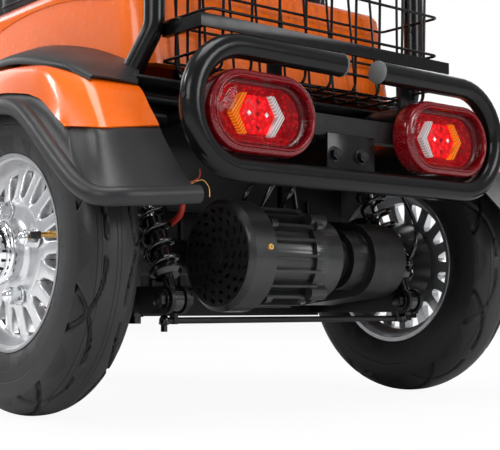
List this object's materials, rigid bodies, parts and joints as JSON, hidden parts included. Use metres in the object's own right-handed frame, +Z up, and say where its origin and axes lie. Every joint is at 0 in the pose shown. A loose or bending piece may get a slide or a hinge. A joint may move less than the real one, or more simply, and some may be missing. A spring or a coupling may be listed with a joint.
{
  "type": "electric tricycle",
  "caption": "Electric mobility tricycle: steered front wheel, motor-driven rear axle, padded seat with folding armrests, rear wire basket, tube bumper and tail lamps.",
  "frame": {"origin": "on the floor, under the middle of the bounding box", "axes": "+X forward, +Y to the rider's left, +Z up"},
  "size_m": [1.801, 0.902, 1.1733],
  "materials": {
    "amber_lens": "amber lens",
    "battery_black": "plain block, hidden",
    "black_frame_paint": "gloss black stove enamel",
    "black_plastic": "satin black plastic",
    "black_rubber": "matt black rubber",
    "cap_grey": "matt grey plastic",
    "cast_steel": "black painted casting",
    "chrome": "polished chrome",
    "grey_textured_plastic": "fine grained dark grey plastic",
    "head_lens": "clear lamp cover",
    "lamp_lens": "smoked clear cover",
    "lamp_reflector": "red, amber and clear optics",
    "motor_black": "black coated aluminium",
    "orange_paint": "glossy orange moulded plastic",
    "red_lamp": "glossy red plastic",
    "seat_vinyl": "black vinyl",
    "silver_alloy": "silver lacquered cast alloy",
    "spring_black": "black powder coat",
    "tyre_rubber": "matt black tyre rubber"
  },
  "bodies": {
    "chassis": {"frame": "black_frame_paint", "battery_pack": "battery_black", "floorboard": "black_plastic", "floor_mat": "black_rubber", "seat_pedestal": "orange_paint", "rear_liner": "black_plastic", "fender_left": "orange_paint", "fender_right": "orange_paint", "flare_left": "grey_textured_plastic", "flare_right": "grey_textured_plastic", "fender_pads": "grey_textured_plastic", "rear_bumper": "black_frame_paint", "bumper_caps": "cap_grey", "lamp_bracket": "black_frame_paint", "tail_lamp_reflectors": "lamp_reflector", "tail_lamp_bezel_left": "red_lamp", "tail_lamp_bezel_right": "red_lamp", "tail_lamp_lens_left": "lamp_lens", "tail_lamp_lens_right": "lamp_lens", "basket_carrier": "black_frame_paint", "rear_basket": "black_frame_paint", "axle_housing": "cast_steel", "motor_body": "motor_black", "motor_cover": "motor_black", "swing_arm": "black_frame_paint", "shock_dampers": "spring_black", "shock_springs": "spring_black", "front_shield": "orange_paint", "inner_shield": "black_plastic", "headlamp": "head_lens", "front_signals": "amber_lens"},
    "seat": {"seat_frame": "black_frame_paint", "seat_cushion": "seat_vinyl", "backrest": "seat_vinyl"},
    "armrest_left": {"armrest_left": "black_rubber"},
    "armrest_right": {"armrest_right": "black_rubber"},
    "rear_wheel_left": {"rear_tyre_left": "tyre_rubber", "rear_rim_left": "silver_alloy", "rear_hub_left": "chrome", "brake_drum_left": "cast_steel"},
    "rear_wheel_right": {"rear_tyre_right": "tyre_rubber", "rear_rim_right": "silver_alloy", "rear_hub_right": "chrome", "brake_drum_right": "cast_steel"},
    "steering": {"fork": "black_frame_paint", "front_fender": "orange_paint", "handlebar": "chrome", "grips": "black_rubber", "hand_controls": "black_plastic", "mirrors": "black_plastic", "dash_pod": "black_plastic"},
    "front_wheel": {"front_tyre": "tyre_rubber", "front_rim": "silver_alloy"}
  },
  "joints": [
    {"name": "rear_wheel_left_spin", "type": "hinge", "parent": "chassis", "child": "rear_wheel_left", "pos_m": [-0.6075, 0.3715, 0.218], "axis": [0, 1, 0], "continuous": true},
    {"name": "rear_wheel_right_spin", "type": "hinge", "parent": "chassis", "child": "rear_wheel_right", "pos_m": [-0.6075, -0.3715, 0.218], "axis": [0, 1, 0], "continuous": true},
    {"name": "steering_turn", "type": "hinge", "parent": "chassis", "child": "steering", "pos_m": [0.51894, 0, 0.5294], "axis": [-0.3746, 0, 0.9272], "range_deg": [-38, 38]},
    {"name": "front_wheel_spin", "type": "hinge", "parent": "steering", "child": "front_wheel", "pos_m": [0.6825, 0, 0.218], "axis": [0, 1, 0], "continuous": true},
    {"name": "seat_tip", "type": "hinge", "parent": "chassis", "child": "seat", "pos_m": [-0.1675, 0, 0.642], "axis": [0, 1, 0], "range_deg": [0, 60]},
    {"name": "armrest_left_fold", "type": "hinge", "parent": "seat", "child": "armrest_left", "pos_m": [-0.6315, 0.246, 0.888], "axis": [0, -1, 0], "range_deg": [0, 95]},
    {"name": "armrest_right_fold", "type": "hinge", "parent": "seat", "child": "armrest_right", "pos_m": [-0.6315, -0.246, 0.888], "axis": [0, -1, 0], "range_deg": [0, 95]}
  ]
}
